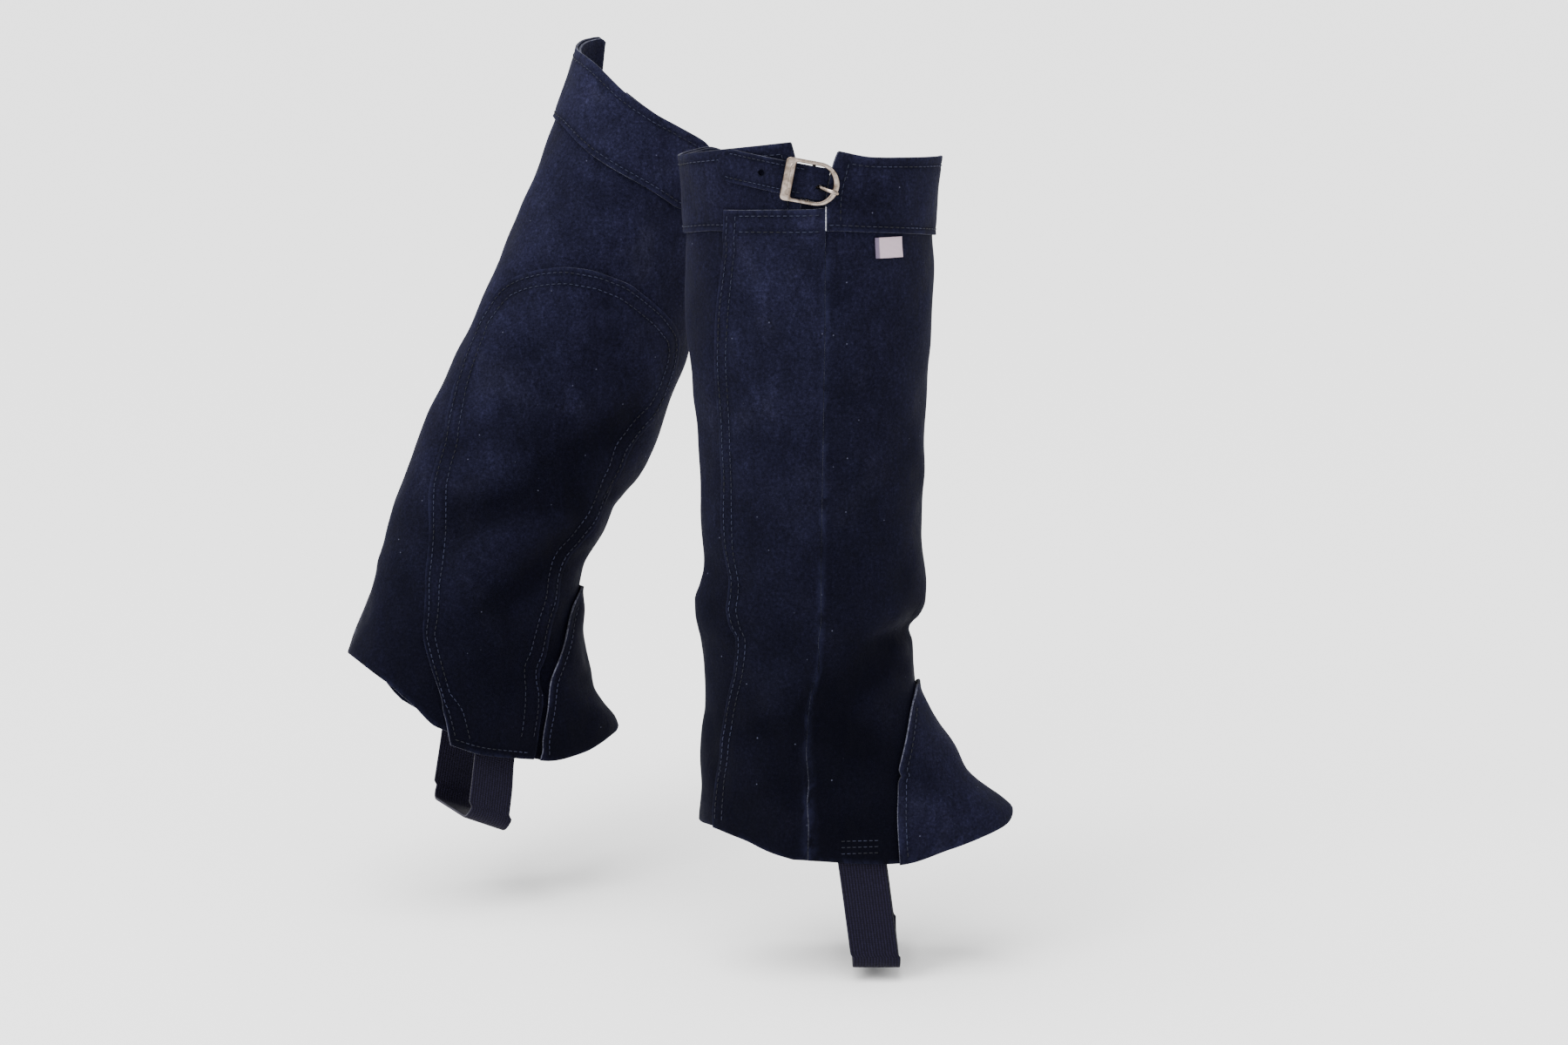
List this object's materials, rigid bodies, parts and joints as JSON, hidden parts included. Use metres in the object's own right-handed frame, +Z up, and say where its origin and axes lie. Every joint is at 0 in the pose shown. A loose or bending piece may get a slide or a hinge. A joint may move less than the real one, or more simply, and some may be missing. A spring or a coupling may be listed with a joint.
{
  "type": "pair of half chaps",
  "caption": "Pair of dark suede half chaps in their worn form, with buckled collars, calf patches and elastic stirrups.",
  "frame": {"origin": "centre of the right chap's top opening, where the wearer's calf holds it", "axes": "+X towards the toes of the right foot, +Y towards the left chap, +Z up along the right leg"},
  "size_m": [0.3818, 0.3162, 0.493],
  "materials": {
    "suede": "napped",
    "elastic": "ribbed",
    "nickel": "plated",
    "label": "woven"
  },
  "bodies": {
    "root": {"right_body": "suede", "right_collar": "suede", "right_calf_patch": "suede", "right_closure_flap": "suede", "right_instep": "suede", "right_stirrup": "elastic", "right_buckle_strap": "suede", "right_buckle_tab": "suede", "right_buckle_frame": "nickel", "right_buckle_prong": "nickel", "right_label": "label", "left_body": "suede", "left_collar": "suede", "left_calf_patch": "suede", "left_closure_flap": "suede", "left_instep": "suede", "left_stirrup": "elastic", "left_buckle_strap": "suede", "left_buckle_tab": "suede", "left_buckle_frame": "nickel", "left_buckle_prong": "nickel"}
  },
  "joints": []
}
